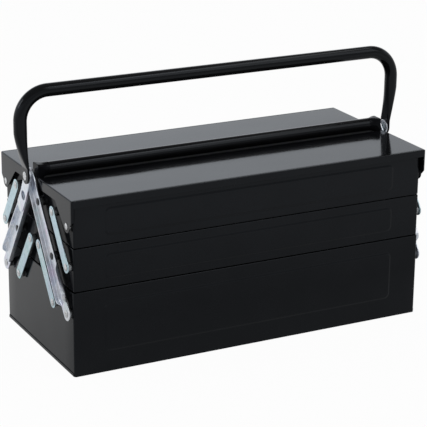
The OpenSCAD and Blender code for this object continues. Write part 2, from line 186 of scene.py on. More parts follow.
def gloss_paint(name, colour, rough, ripple, coat=0.5):
    """Black enamel: slight orange peel and sheet ripple, cloudy polish, dust specks and fine rubs.
    ripple is the ripple's height in metres, and coat is the strength of the mirror reflection."""
    material, tree, shader = nodes_of(name)
    place = node(tree, "ShaderNodeTexCoord").outputs["Object"]
    cloud = noise(tree, place, 22.0, 4.0)
    rubs = noise(tree, stretched(tree, place, (1.0, 6.0, 9.0)), 60.0, 6.0, 0.65)
    dust = ramp(tree, noise(tree, place, 900.0, 2.0), (0.70, 0.0), (0.78, 1.0))
    dark = tuple(0.72 * c for c in colour)
    pale = tuple(1.9 * c + 0.006 for c in colour)
    tone = ramp(tree, cloud, (0.25, dark), (0.75, colour))
    worn = mixed(tree, math(tree, "MULTIPLY", dust, 0.5), tone, (*pale, 1))
    tree.links.new(worn, shader.inputs["Base Color"])
    spread = math(tree, "MULTIPLY_ADD", rubs, 0.10, rough - 0.05)
    tree.links.new(math(tree, "MULTIPLY_ADD", cloud, 0.05, spread), shader.inputs["Roughness"])
    peel = noise(tree, place, 420.0, 2.0)
    swell = noise(tree, place, 9.0, 1.0)
    fine_bump = node(tree, "ShaderNodeBump", {"Height": peel, "Strength": 0.35, "Distance": 0.00002})
    wide_bump = node(tree, "ShaderNodeBump", {"Height": swell, "Strength": 1.0, "Distance": ripple,
                                              "Normal": fine_bump.outputs[0]})
    tree.links.new(wide_bump.outputs[0], shader.inputs["Normal"])
    shader.inputs["Specular IOR Level"].default_value = coat
    shader.inputs["IOR"].default_value = 1.28
    shader.inputs["Specular Tint"].default_value = (0.84, 0.91, 1.0, 1)
    return material


enamel = gloss_paint("black_enamel", (0.0055, 0.0058, 0.0068), 0.075, 0.0006)


def spaced(*spans):
    """Sorted places along a side, from (start, end, steps) spans."""
    return np.unique(np.round(np.concatenate([np.linspace(a, b, n + 1) for a, b, n in spans]), 6))


def plan_loop(x, y0, y1, r):
    """The rounded rectangle that a folded wall follows in plan, counted anticlockwise, as points and
    outward normals. Its long sides have close points from a stamped panel's edge to close_run inside."""
    half = x - stamp_margin
    flat_half = half - close_run
    along = spaced((-x + r, -half - 3, 3), (-half - flank - 0.5, -flat_half, 16),
                   (-flat_half, flat_half, 12), (flat_half, half + flank + 0.5, 16), (half + 3, x - r, 3))
    across = spaced((y0 + r, y1 - r, 8))
    turn = np.radians(np.linspace(0, 90, 7))
    points, normals = [], []
    sides = [(along, None, y0, (0, -1)), (None, across, x, (1, 0)), (along[::-1], None, y1, (0, 1)),
             (None, across[::-1], -x, (-1, 0))]
    centres = [(x - r, y0 + r, -90), (x - r, y1 - r, 0), (-x + r, y1 - r, 90), (-x + r, y0 + r, 180)]
    for (xs, ys, fixed, normal), (cx, cy, start) in zip(sides, centres):
        if ys is None:
            run = np.column_stack([xs, np.full(xs.size, fixed)])
        else:
            run = np.column_stack([np.full(ys.size, fixed), ys])
        points.append(run)
        normals.append(np.tile(normal, (len(run), 1)))
        a = turn[1:-1] + np.radians(start)
        way = np.column_stack([np.cos(a), np.sin(a)])
        points.append(np.array([cx, cy]) + r * way)
        normals.append(way)
    return np.concatenate(points), np.concatenate(normals).astype(float)


def stamped(px, z, x, z0, z1):
    """Height of a stamped panel at (px, z): stamp_out * smooth(1/2 - d / (2 * flank)), where d is the
    signed distance to a rounded rectangle."""
    qx = np.abs(px) - (x - stamp_margin) + stamp_r
    qz = np.abs(z - (z0 + z1) / 2) - (z1 - z0) / 2 + stamp_r
    outside = np.hypot(np.maximum(qx, 0), np.maximum(qz, 0)) + np.minimum(np.maximum(qx, qz), 0) - stamp_r
    return stamp_out * smooth(0.5 - outside / (2 * flank))


def wall_section(z0, z1, stamp, floor):
    """The wall's outline as [inward distance, height], from the bottom of its outer face over the
    rolled rim and the hem to the bottom of its inner face. A tray's wall turns into its floor."""
    s0, s1 = stamp
    flat_low, flat_high = s0 + close_run, s1 - close_run
    levels = spaced((z0 + 2.5, s0 - flank - 1, 2), (s0 - flank - 0.5, flat_low, 15),
                    (flat_low, flat_high, 4), (flat_high, s1 + flank + 0.5, 15),
                    (s1 + flank + 1, z1 - sheet - 0.6, 2))
    levels = levels[(levels > z0 + 2) & (levels < z1 - sheet - 0.5)]
    under_hem = levels[levels < z1 - hem_h - 0.3]
    low_out = np.array([[0, z0]])
    low_in = np.array([[sheet, z0]])
    if floor:
        r = floor_fold_r
        low_out = np.concatenate([[[r + 0.8, z0]], arc(r, z0 + r, r, 270, 180, 5)])
        low_in = np.concatenate([arc(r, z0 + r, r - sheet, 180, 270, 4), [[r + 0.8, z0 + sheet]]])
    return np.concatenate([
        low_out, np.column_stack([np.zeros(levels.size), levels]),
        arc(sheet, z1 - sheet, sheet, 180, 0, 8),
        [[2 * sheet, z1 - sheet - 0.6], [2 * sheet, z1 - hem_h + 0.3], [1.7 * sheet, z1 - hem_h],
         [1.2 * sheet, z1 - hem_h], [sheet, z1 - hem_h + 0.15]],
        np.column_stack([np.full(under_hem.size, sheet), under_hem[::-1]]), low_in])


def folded_walls(shell, x, y0, y1, z0, z1, stamp, both=False, floor=True):
    """The wall's section carried round its plan: point = path - inward distance * normal, pushed out
    by the stamped panel's height on the outer long wall, and on both if both is set."""
    path, normal = plan_loop(x, y0, y1, corner_r)
    section = wall_section(z0, z1, stamp, floor)
    inward, z = section[:, 0], section[:, 1]
    on_panel = (normal[:, 1] > 0.999) | (both & (normal[:, 1] < -0.999))
    under = inward < 1.01 * sheet
    out = stamped(path[None, :, 0], z[:, None], x, *stamp) * on_panel[None, :] * under[:, None]
    out = out - inward[:, None]
    p = np.empty((section.shape[0], path.shape[0], 3))
    p[..., 0] = path[None, :, 0] + out * normal[None, :, 0]
    p[..., 1] = path[None, :, 1] + out * normal[None, :, 1]
    p[..., 2] = z[:, None]
    shell.grid(p, ring=not floor)


body_walls = Shell()
folded_walls(body_walls, box_x, -box_y, box_y, sheet, box_h, box_stamp, both=True, floor=False)
put("box_body", body_walls, "root", "painted_sheet", enamel, "bottom_box")

# ---------------------------------------------------------------- base pan
# The base is a separate flat pan of the same sheet. Its ends are folded up over the end panels as
# narrow lips and spot-welded there, so a double line shows along the foot of each end.
lip_h = 4.5
lip_fold = 1.1


def carried(section, places, axis):
    """A section carried straight along an axis, 0 for X or 1 for Y: its points at each of the places."""
    p = np.empty((len(places), len(section), 3))
    p[..., axis] = np.asarray(places)[:, None]
    p[..., [other for other in range(3) if other != axis]] = section
    return p


def slab(shell, outline, low, high, edge=0.25):
    """A flat plate between two heights, with its edges rounded off: each ring is the outline moved in
    along its inward normals by a row's distance, at the row's height."""
    before, after = np.roll(outline, 1, axis=0), np.roll(outline, -1, axis=0)
    way = after - before
    inward = np.column_stack([-way[:, 1], way[:, 0]]) / np.linalg.norm(way, axis=1)[:, None]
    rows = [(3 * edge, low), (edge, low), (0.3 * edge, low + 0.3 * edge), (0, low + edge),
            (0, high - edge), (0.3 * edge, high - 0.3 * edge), (edge, high), (3 * edge, high)]
    shell.grid(np.array([np.column_stack([outline + d * inward, np.full(len(outline), h)])
                         for d, h in rows]))


base = Shell()
base_plan, _ = plan_loop(box_x, -box_y, box_y, corner_r)
slab(base, base_plan, 0.0, sheet)
lip_section = np.concatenate([
    [[box_x - 0.6, 0.03]], arc(box_x + sheet - lip_fold, lip_fold + 0.03, lip_fold, 270, 360, 5),
    [[box_x + sheet, lip_h - 0.8]], arc(box_x + sheet - 0.3, lip_h - 0.3, 0.3, 0, 90, 3),
    arc(box_x + 0.3, lip_h - 0.3, 0.29, 90, 180, 3),
    [[box_x + 0.01, lip_h - 0.8], [box_x + 0.01, 0.5], [box_x - 0.6, 0.5]]])
lip = carried(lip_section, np.array([-1.0, -0.995, 0.995, 1.0]) * (box_y - corner_r), 1)
for end in (1, -1):
    base.grid(lip * [end, 1, 1])
put("base_pan_sheet", base, "root", "painted_sheet", enamel, "base_pan")

# ---------------------------------------------------------------- trays
# Two middle trays and two top trays stack on the bottom box, and the front pair mirrors the rear pair.
# Each is folded from one sheet like the body, floor and walls in one. A top tray's inner wall is folded
# over as a ledge under the lid's inner edge. The ends and the ledges take darker copies of the enamel
# with a weaker reflection. This is painted shade: the arms and links shade the ends, and the grab bar
# and the lids shade the ledges.
halves = (("rear", ()), ("front", (1,)))
tray_in, tray_out = 0.5, 118.5
mid_x, top_x = 264.0, 263.6
mid_z = (118.4, 177.6)
top_z = (178.4, 240.4)
stamp_edge = 13.0
ledge_w, ledge_drop, ledge_rise = 13.5, 3.5, 0.05
# Painted shade: darker copies of the enamel with a weaker reflection, for the ledges and the tray ends.
painted_shade_ledges = gloss_paint("painted_shade_ledge_enamel", (0.0045, 0.0048, 0.0055), 0.42, 0.0003, coat=0.10)
painted_shade_ends = gloss_paint("painted_shade_end_enamel", (0.0055, 0.0058, 0.0068), 0.12, 0.0003, coat=0.14)


def refinish(piece, finish, chosen):
    """Gives another finish to the faces that a rule on their centres, in millimetres, picks."""
    faces = piece.data.polygons
    centres, index = np.empty(3 * len(faces)), np.empty(len(faces), np.int32)
    faces.foreach_get("center", centres)
    faces.foreach_get("material_index", index)
    piece.data.materials.append(finish)
    index[chosen(*centres.reshape(-1, 3).T / MM)] = len(piece.data.materials) - 1
    faces.foreach_set("material_index", index)


ledge_y, ledge_z = tray_in + ledge_w, top_z[1] + ledge_rise
ledge_section = np.concatenate([
    [[tray_in + 0.3, ledge_z], [tray_in + 0.02, ledge_z - 0.3], [tray_in + 0.02, ledge_z - sheet]],
    [[ledge_y - 1.5, ledge_z - sheet]],
    arc(ledge_y - 1.1, ledge_z - 0.4 - sheet, 0.4, 90, 0, 3),
    [[ledge_y - 0.7, ledge_z - ledge_drop + 0.3], [ledge_y - 0.4, ledge_z - ledge_drop],
     [ledge_y, ledge_z - ledge_drop + 0.3]],
    arc(ledge_y - 1.3, ledge_z - 1.301, 1.3, 0, 90, 5), [[ledge_y - 2.2, ledge_z]]])

ledge_run = carried(ledge_section, np.array([-1.0, -0.998, 0.998, 1.0]) * (top_x - sheet), 0)
for side, flip in halves:
    for level, end_x, (low, high) in (("middle", mid_x, mid_z), ("top", top_x, top_z)):
        tray = Shell()
        folded_walls(tray, end_x, tray_in, tray_out, low, high, (low + stamp_edge, high - stamp_edge))
        if level == "top":
            tray.grid(ledge_run)
        body = side + "_" + level
        piece = put(body + "_tray_sheet", tray, body, "painted_sheet", enamel, body + "_tray", mirror=flip)
        # Painted shade on the ends and the ledges, from the darker copies of the enamel.
        refinish(piece, painted_shade_ends, lambda x, y, z: np.abs(x) > end_x - 0.05)
        if level == "top":
            refinish(piece, painted_shade_ledges,
                     lambda x, y, z: (z > high - 0.2) & (np.abs(y) < tray_in + ledge_w))

# ---------------------------------------------------------------- lids
# Each lid is one sheet: the top, a 10 mm flange along the outer side, and an end flange that slants
# down to a round ear for the hinge rivet. A short return along the inner edge meets the tray's ledge,
# with a relief notch between it and each end flange.
lid_x, lid_y, lid_z = 268.5, 125.0, 245.0
lid_in = 13.5
flange_z, end_z = 235.0, 231.0
hinge = np.array([107.0, 207.0])
ear_r, ear_run = 9.0, 30.0
cut_z = 213.0
return_x, notch_x, notch_y, return_z = 258.5, 260.0, 18.0, 240.7
lid_fold, lid_inset, return_fold = 1.6, 4.0, 1.2


def lid_path():
    """The line round three sides of a lid's top, as points, outward normals and the height of the
    flange's lower edge: a strip, the slant, the ear's circle and the cut corner, which rises at 45
    degrees, then the long side. The other half is its mirror image."""
    side_y = lid_y - corner_r
    low = hinge + ear_r * np.array([-0.7, -0.7])
    ear = arc(hinge[0], hinge[1], ear_r, 225, 360, 14)
    run = np.concatenate([
        [[lid_in, end_z], [lid_in + 1, end_z], [40, end_z], [low[0] - ear_run - 3, end_z],
         [low[0] - ear_run, end_z - 0.6]],
        np.linspace([low[0] - ear_run + 2.5, end_z - 3.0], low + [-0.5, 0.6], 10), ear,
        [[side_y - 3, cut_z - 3], [side_y, cut_z]]])
    end = np.column_stack([np.full(len(run), lid_x), run[:, 0]])
    normal = np.tile([1.0, 0.0], (len(run), 1))
    a = np.radians(np.linspace(0, 90, 7))[1:]
    around = np.column_stack([np.cos(a), np.sin(a)])
    corner = np.array([lid_x - corner_r, side_y]) + corner_r * around
    corner_low = cut_z + corner[:, 1] - side_y
    across = np.array([lid_x - corner_r - 0.3, lid_x - corner_r - 0.9, lid_x - 12, 200, 100, 0])
    long = np.column_stack([across, np.full(across.size, lid_y)])
    points = np.concatenate([end, corner, long])
    normals = np.concatenate([normal, around, np.tile([0.0, 1.0], (len(long), 1))])
    lower = np.concatenate([run[:, 1], corner_low, np.full(across.size, flange_z)])
    other = slice(len(points) - 2, None, -1)
    return (np.concatenate([points, points[other] * [-1, 1]]),
            np.concatenate([normals, normals[other] * [-1, 1]]),
            np.concatenate([lower, lower[other]]))


def lid_shell():
    """A lid's flanges as their section carried round the path, point = path - inward * normal, closed
    by the flat top, its underside, the notches and the return strip."""
    path, normal, lower = lid_path()
    out = arc(lid_fold, lid_z - lid_fold, lid_fold, 90, 180, 6)
    inn = arc(lid_fold, lid_z - lid_fold, lid_fold - sheet, 180, 90, 4)
    above = np.concatenate([[[lid_inset, lid_z]], out, [[0, lid_z - lid_fold - 0.6]]])
    below = np.array([[0, 0.9], [0, 0.3], [0.3, 0], [0.6, 0], [sheet, 0.3], [sheet, 0.9]])
    inside = np.concatenate([[[sheet, lid_z - lid_fold - 0.6]], inn, [[lid_inset, lid_z - sheet]]])
    inward = np.concatenate([above[:, 0], below[:, 0], inside[:, 0]])
    height = np.concatenate([np.tile(above[:, 1], (len(path), 1)), lower[:, None] + below[:, 1],
                             np.tile(inside[:, 1], (len(path), 1))], axis=1)
    p = np.empty((len(path), len(inward), 3))
    p[..., :2] = path[:, None, :] - inward[None, :, None] * normal[:, None, :]
    p[..., 2] = height
    p[:, :, 1] = np.maximum(p[:, :, 1], lid_in)
    shell = Shell()
    shell.grid(p, wrap=False)
    notch = np.array([[-lid_x + lid_inset, lid_in], [-notch_x, lid_in], [-notch_x, notch_y],
                      [-return_x, notch_y], [return_x, notch_y], [notch_x, notch_y], [notch_x, lid_in],
                      [lid_x - lid_inset, lid_in]])
    for column, z in ((0, lid_z), (-1, lid_z - sheet)):
        rim = np.concatenate([p[:, column, :], np.column_stack([notch, np.full(len(notch), z)])[1:-1]])
        shell.polygon(rim)
    for a, b in ((0, 1), (1, 2), (2, 3), (4, 5), (5, 6), (6, 7)):
        shell.polygon(np.array([[*notch[a], lid_z], [*notch[b], lid_z], [*notch[b], lid_z - sheet],
                                [*notch[a], lid_z - sheet]]))
    y, z = lid_in + return_fold, lid_z - return_fold
    strip = np.concatenate([
        [[notch_y, lid_z]], [[y + 0.6, lid_z]], arc(y, z, return_fold, 90, 180, 5),
        [[lid_in, lid_z - 2], [lid_in, return_z + 0.3], [lid_in + 0.3, return_z],
         [lid_in + 0.6, return_z], [lid_in + sheet, return_z + 0.3], [lid_in + sheet, lid_z - 2]],
        arc(y, z, return_fold - sheet, 180, 90, 3), [[y + 0.6, lid_z - sheet]],
        [[notch_y, lid_z - sheet]]])
    shell.grid(carried(strip, (-return_x, return_x), 0), wrap=False)
    return shell


for side, flip in halves:
    piece = put(side + "_lid_sheet", lid_shell(), side + "_lid", "painted_sheet", enamel, side + "_lid",
                mirror=flip)
    # Painted shade under the grab bar: the return strip and the inner fold take the ledges' darker copy.
    refinish(piece, painted_shade_ledges,
             lambda x, y, z: (np.abs(y) < lid_in + return_fold + 0.5) & (np.abs(x) < notch_x))

# ---------------------------------------------------------------- long arms
# The four arms are zinc-plated channels folded from 1.5 mm strip, open outwards: a flat round tongue
# at the lowest pivot, a shoulder, and a slight taper to a round end. The front arms' outer flange is
# only a low lip above its lower part. The rear arms' flanges are deeper and carry the handle plates.
low_pivot = np.array([108.0, 87.0])
top_pivot = np.array([17.0, 213.6])
mid_pivot = low_pivot + (top_pivot - low_pivot) * (151.8 - 87.0) / (213.6 - 87.0)
arm_len = np.linalg.norm(top_pivot - low_pivot)
arm_dir = (top_pivot - low_pivot) / arm_len
arm_side = np.array([-arm_dir[1], arm_dir[0]])
arm_x, arm_t = 269.5, 1.5
arm_w, arm_root_w, tongue_w, arm_tongue, shoulder_run = 20.0, 28.0, 19.0, 14.0, 10.0
arm_past = {"front": 38.0, "rear": 3.0}
arm_flange = {"front": 6.5, "rear": 7.5}
plate_edge = 0.35
lip_from = np.linalg.norm(mid_pivot - low_pivot) - 18.0
lip_x = arm_x + 3.0
hands = (("right", ()), ("left", (0,)))


def arm_outline(past):
    """The arm's outline as [distance up the arm, distance towards the middle]: half a circle, a side
    whose half width follows the shoulder's smooth step and the taper, half a circle, and back."""
    tip = arm_len + past
    s = spaced((0.5, 10, 5), (10, 27, 24), (27, lip_from - 7, 6), (lip_from - 7, lip_from + 7, 14),
               (lip_from + 7, tip, 14))[:-1]
    rise = smooth((s - arm_tongue + 1) / (shoulder_run + 2))
    taper = np.clip((s - arm_tongue - shoulder_run) / (tip - arm_tongue - shoulder_run), 0, 1)
    half = tongue_w / 2 + (arm_root_w - tongue_w) / 2 * rise - (arm_root_w - arm_w) / 2 * taper
    side = np.column_stack([s, half])
    return np.concatenate([arc(0, 0, tongue_w / 2, 90, 270, 24), side * [1, -1],
                           arc(tip, 0, arm_w / 2, -90, 90, 24), side[::-1]])


def inward_of(outline):
    """The inward normals of a closed outline counted anticlockwise: at each point, the line between
    its neighbours turned a quarter to the left and made one long."""
    way = np.roll(outline, -1, axis=0) - np.roll(outline, 1, axis=0)
    return np.column_stack([-way[:, 1], way[:, 0]]) / np.linalg.norm(way, axis=1)[:, None]


def arm_shell(past, flange_x, lip):
    """A channel: at each point of the outline a section runs from the web's back, round the outer
    fold, up the flange to its height there, over its rim, and down round the inner fold to the web.
    Its points are outline + q * inward normal, at the height x. As the flange rises, the folds' radii
    grow to 2.2 mm outside and 0.8 mm inside."""
    outline = arm_outline(past)
    inward = inward_of(outline)
    s, t = outline[:, 0], outline[:, 1]
    full = smooth((s - arm_tongue + 2) / 7)
    top = arm_x + arm_t + (flange_x - arm_x - arm_t) * full
    if lip:
        low = smooth((s - lip_from + 5) / 10) * smooth(0.5 - t / 2.5)
        top = top - (flange_x - lip_x) * low
    folded = smooth((top - arm_x - arm_t) / 1.2)[:, None]
    outer_r = 0.3 + 1.9 * folded
    inner_r = 0.05 + 0.75 * folded
    a = np.radians(np.linspace(0, 90, 6))[None, :]
    edge = plate_edge
    web = arm_x + arm_t
    top = top[:, None]
    wide = np.ones_like(top)
    q = np.hstack([outer_r + 0.5, outer_r * (1 - np.sin(a)), 0 * wide,
                   edge * (1 - np.cos(a)) * wide, (arm_t - edge + edge * np.sin(a)) * wide,
                   arm_t * wide, arm_t + inner_r * (1 - np.cos(a)), arm_t + inner_r + 0.4])
    x = np.hstack([arm_x * wide, arm_x + outer_r * (1 - np.cos(a)),
                   np.maximum(top - edge - 0.3, arm_x + outer_r), top - edge * (1 - np.sin(a)),
                   top - edge * (1 - np.cos(a)), top - edge - 0.3,
                   web + inner_r * (1 - np.sin(a)), web * wide])
    inside = 2 + 2 * a.size
    x[:, inside:] = np.clip(x[:, inside:], web, np.maximum(top, web))
    place = outline[:, None, :] + q[..., None] * inward[:, None, :]
    yz = low_pivot + place[..., :1] * arm_dir + place[..., 1:] * arm_side
    p = np.concatenate([x[..., None], yz], axis=2).transpose(1, 0, 2)
    shell = Shell()
    shell.grid(p)
    return shell


arm_lean = 0.62


def zinc_plate(name, tint, rough):
    """Passivated zinc: bluish white with lilac and teal clouds, a fine rolled grain and dull spots."""
    material, tree, shader = nodes_of(name)
    place = node(tree, "ShaderNodeTexCoord").outputs["Object"]
    cloud = noise(tree, stretched(tree, place, (1, 1.6, 0.7), arm_lean), 34.0, 3.0)
    lilac = tuple(t * c for t, c in zip(tint, (0.93, 0.86, 0.95)))
    teal = tuple(t * c for t, c in zip(tint, (0.70, 0.88, 0.86)))
    blue = tuple(t * c for t, c in zip(tint, (0.88, 0.95, 0.99)))
    hue = ramp(tree, cloud, (0.30, lilac), (0.46, blue), (0.58, tint), (0.72, teal))
    spots = ramp(tree, noise(tree, place, 210.0, 4.0, 0.6), (0.42, 1.0), (0.68, 0.82))
    tree.links.new(mixed(tree, 1.0, hue, spots, "MULTIPLY"), shader.inputs["Base Color"])
    grain = noise(tree, stretched(tree, place, (1, 9, 1), arm_lean), 700.0, 3.0, 0.6)
    fine = math(tree, "MULTIPLY_ADD", grain, 0.16, rough - 0.08)
    tree.links.new(math(tree, "MULTIPLY_ADD", cloud, 0.10, fine), shader.inputs["Roughness"])
    bump = node(tree, "ShaderNodeBump", {"Height": grain, "Strength": 0.4, "Distance": 0.00003})
    tree.links.new(bump.outputs[0], shader.inputs["Normal"])
    shader.inputs["Metallic"].default_value = 1.0
    return material


arm_zinc = zinc_plate("arm_zinc", (0.86, 0.86, 0.90), 0.33)
for side, flip in halves:
    for end, turn in hands:
        channel = arm_shell(arm_past[side], arm_x + arm_flange[side], side == "front")
        name = side + "_arm_" + end
        put(name + "_channel", channel, side + "_arms", "zinc_strip", arm_zinc, name, mirror=flip + turn)

# ---------------------------------------------------------------- handle plates
# A flat plate of the same strip is spot-welded on the flanges of each rear arm and reaches up past the
# front arm to the handle's pivot. A hole in it gives the riveting tool room at the arm's upper pivot.
plate_x = arm_x + arm_flange["rear"]
bow_pivot = np.array([0.0, 246.0])
plate_low = top_pivot - arm_w * arm_dir
hole_r = 6.5


def strip_outline(a, b, width, n=24):
    """A strip with round ends between two pivots: half a circle round b, a straight run, half a circle
    round a and a straight run back, counted anticlockwise."""
    turn = np.degrees(np.arctan2(*(b - a)[::-1]))
    along = np.linspace(0.04, 0.96, 14)[:, None]
    head = arc(*b, width / 2, turn - 90, turn + 90, n)
    tail = arc(*a, width / 2, turn + 90, turn + 270, n)
    return np.concatenate([head, head[-1] + along * (tail[0] - head[-1]),
                           tail, tail[-1] + along * (head[0] - tail[-1])])


def beyond(points, a, b, width):
    """Which points lie further than half the width from the line between two pivots: the distance is
    measured to a + t (b - a), with t held between 0 and 1."""
    along = np.clip(((points - a) @ (b - a)) / ((b - a) @ (b - a)), 0, 1)
    return np.linalg.norm(points - a - along[:, None] * (b - a), axis=1) > width / 2 - 1e-6


def edge_rows(x0, x1, edge=plate_edge):
    """Rows across a plate's edge as [inward distance, X], with a quarter circle at each face."""
    return np.concatenate([[[edge + 0.5, x0]], arc(edge, x0 + edge, edge, 270, 180, 4),
                           arc(edge, x1 - edge, edge, 180, 90, 4), [[edge + 0.5, x1]]])


def edge_grid(outline, rows, inward):
    """A plate's edge: point = [the row's X, outline + the row's inward distance * inward normal]."""
    flat = outline[None] + rows[:, None, :1] * inward[None]
    return np.concatenate([np.broadcast_to(rows[:, None, 1:], flat.shape[:2] + (1,)), flat], axis=2)


lower_part = strip_outline(plate_low, top_pivot, arm_w)
upper_part = strip_outline(top_pivot, bow_pivot, arm_w)
rim = np.concatenate([lower_part[beyond(lower_part, top_pivot, bow_pivot, arm_w)],
                      upper_part[beyond(upper_part, plate_low, top_pivot, arm_w)]])
rim = rim[np.argsort(np.arctan2(rim[:, 1] - top_pivot[1], rim[:, 0] - top_pivot[0]))]
ray = (rim - top_pivot) / np.linalg.norm(rim - top_pivot, axis=1)[:, None]
plate_rows = edge_rows(plate_x, plate_x + arm_t)
plate = np.concatenate([edge_grid(rim, plate_rows, inward_of(rim)),
                        edge_grid(top_pivot + hole_r * ray, plate_rows[::-1], ray)])
plates = Shell()
for end in (1, -1):
    plates.grid(plate * [end, 1, 1], ring=True)
put("handle_plate_pair", plates, "rear_arms", "zinc_strip", arm_zinc, "handle_plates")

# ---------------------------------------------------------------- parallel links
# Flat zinc strips with round ends run beside the arms, from the box to the middle tray and from the
# middle tray to the top tray, and keep the trays level as they swing out. Rivets hold their ends.
link_w, spacing = 16.0, np.array([47.0, 0.0])
link_low, link_mid_in, link_mid_out = low_pivot - spacing, mid_pivot - spacing, mid_pivot + spacing
link_top = top_pivot + spacing
strip_rows = edge_rows(arm_x, arm_x + arm_t)
link_zinc = zinc_plate("link_zinc", (0.60, 0.73, 0.77), 0.30)
for side, flip in halves:
    for level, a, b in (("lower", link_low, link_mid_in), ("upper", link_mid_out, link_top)):
        for end, turn in hands:
            outline = strip_outline(a, b, link_w)
            link = Shell()
            link.grid(edge_grid(outline, strip_rows, inward_of(outline)))
            name = side + "_" + level + "_link_" + end
            put(name + "_strip", link, side + "_" + level + "_links", "zinc_strip", link_zinc, name,
                mirror=flip + turn)

# ---------------------------------------------------------------- pivot rivets and washers
# Every pivot is a steel rivet, headed over inside the panel and again outside the arm or link with a
# low dome and the mark of the riveting tool. A turned washer keeps the strip off the panel. The
# arms' middle and top rivets are blackened, and the others are bright.
panel_x = {"box": box_x, "middle": mid_x, "top": top_x}
head_r, head_h, pin_r, washer_r = 5.0, 1.4, 3.0, 6.0
head_rim, tail_share = 0.3, 0.8
dimple_r, dimple_h = 1.2, 0.35
play = 0.15
head_x = arm_x + arm_t + play
axis_r = 0.02


def turned(shell, profile, centre, n=40, ring=False):
    """A profile of [X, radius] turned round an axis along X through the centre, at both ends of the
    box: point = centre + radius * (cos angle, sin angle). A ring's profile closes on itself."""
    a = np.linspace(0, 2 * np.pi, n, endpoint=False)
    p = np.empty((len(profile), n, 3))
    p[..., 0] = profile[:, :1]
    p[..., 1] = centre[0] + profile[:, 1:] * np.cos(a)
    p[..., 2] = centre[1] + profile[:, 1:] * np.sin(a)
    for end in (p, p * [-1, 1, 1]):
        shell.grid(end, ring=ring)


def rivet_profile(x0, x1, pin, big, h):
    """Tail, shank and head as [X, radius]. A head is part of a ball of radius
    R = (big^2 + rise^2) / (2 rise), so its height at radius r is rise - R + sqrt(R^2 - r^2). The tail
    is 0.8 times as high, and the head's crown has a shallow dimple."""
    rise, bevel = h - head_rim, head_rim / 2
    dome_r = (big * big + rise * rise) / (2 * rise)
    r = big * np.sin(np.radians(np.linspace(90, 0, 12)))
    dome = rise - dome_r + np.sqrt(dome_r ** 2 - r ** 2)
    dimple = dimple_h * smooth(1.3 - r / dimple_r)
    head = np.column_stack([x1 + head_rim + dome - dimple, np.maximum(r, axis_r)])
    tail = np.column_stack([x0 - head_rim - tail_share * dome, np.maximum(r, axis_r)])[::-1]
    shank = [[x0 - bevel, big], [x0, big - bevel], [x0, pin + 0.3], [x0, pin],
             [x1, pin], [x1, pin + 0.3], [x1, big - bevel], [x1 + bevel, big]]
    return np.concatenate([tail, shank, head])


def rivet_finish(name, colour, rough, metal):
    """Plated or blackened rivet steel, with dark grime in random patches."""
    material, tree, shader = nodes_of(name)
    place = node(tree, "ShaderNodeTexCoord").outputs["Object"]
    grime = noise(tree, place, 480.0, 4.0, 0.6)
    tree.links.new(ramp(tree, grime, (0.35, tuple(0.55 * c for c in colour)), (0.62, colour)),
                   shader.inputs["Base Color"])
    tree.links.new(math(tree, "MULTIPLY_ADD", grime, 0.25, rough - 0.1), shader.inputs["Roughness"])
    bump = node(tree, "ShaderNodeBump", {"Height": grime, "Strength": 0.5, "Distance": 0.00004})
    tree.links.new(bump.outputs[0], shader.inputs["Normal"])
    shader.inputs["Metallic"].default_value = metal
    return material


bright_rivet = rivet_finish("bright_rivet", (0.72, 0.73, 0.74), 0.28, 1.0)
dark_rivet = rivet_finish("blackened_rivet", (0.035, 0.037, 0.045), 0.30, 0.6)
washer_steel = rivet_finish("washer_steel", (0.42, 0.44, 0.46), 0.42, 1.0)


def washer_profile(x0, x1, hole, outer):
    """A washer's section, chamfered at its outer corners, as a closed run of [X, radius]."""
    return np.array([[x0, hole], [x0, outer - 0.5], [x0 + 0.12, outer - 0.15], [x0 + 0.4, outer],
                     [x1 - 0.4, outer], [x1 - 0.12, outer - 0.15], [x1, outer - 0.5], [x1, hole]])


pivots = {"box": ([low_pivot], [link_low]), "middle": ([mid_pivot], [link_mid_in, link_mid_out]),
          "top": ([top_pivot], [link_top])}
for level, (on_arms, on_links) in pivots.items():
    rivet = rivet_profile(panel_x[level] - sheet, head_x, pin_r, head_r, head_h)
    washer = washer_profile(panel_x[level], arm_x - play, pin_r, washer_r)
    sides = ([("", "root", (1, -1))] if level == "box" else
             [("rear_", "rear_" + level, (1,)), ("front_", "front_" + level, (-1,))])
    for prefix, body, ways in sides:
        arm_rivets, link_rivets, spacers = Shell(), Shell(), Shell()
        for way in ways:
            for p in on_arms:
                turned(arm_rivets, rivet, p * [way, 1])
            for p in on_links:
                turned(link_rivets, rivet, p * [way, 1])
            for p in on_arms + on_links:
                turned(spacers, washer, p * [way, 1], ring=True)
        cad = prefix + level
        arm_finish = bright_rivet if level == "box" else dark_rivet
        put(cad + "_arm_rivets", arm_rivets, body, "rivet_steel", arm_finish, cad + "_rivets")
        put(cad + "_link_rivets", link_rivets, body, "rivet_steel", bright_rivet, cad + "_rivets")
        put(cad + "_washers", spacers, body, "spacer_steel", washer_steel, cad + "_spacers")

# ---------------------------------------------------------------- lid rivets
# Each lid turns on two smaller steel rivets through its ears, one at each end. A turned washer between
# ear and tray keeps the enamel of both from rubbing.
lid_pin_r, lid_head_r, lid_head_h = 2.5, 4.5, 1.2
for side, way in (("rear", 1), ("front", -1)):
    lid_pins = Shell()
    pin = rivet_profile(top_x - sheet, lid_x + play, lid_pin_r, lid_head_r, lid_head_h)
    washer = washer_profile(top_x, lid_x - sheet - play, lid_pin_r, washer_r)
    turned(lid_pins, pin, hinge * [way, 1])
    turned(lid_pins, washer, hinge * [way, 1], ring=True)
    put(side + "_lid_hinge_rivets", lid_pins, side + "_top", "rivet_steel", bright_rivet,
        side + "_lid_rivets")

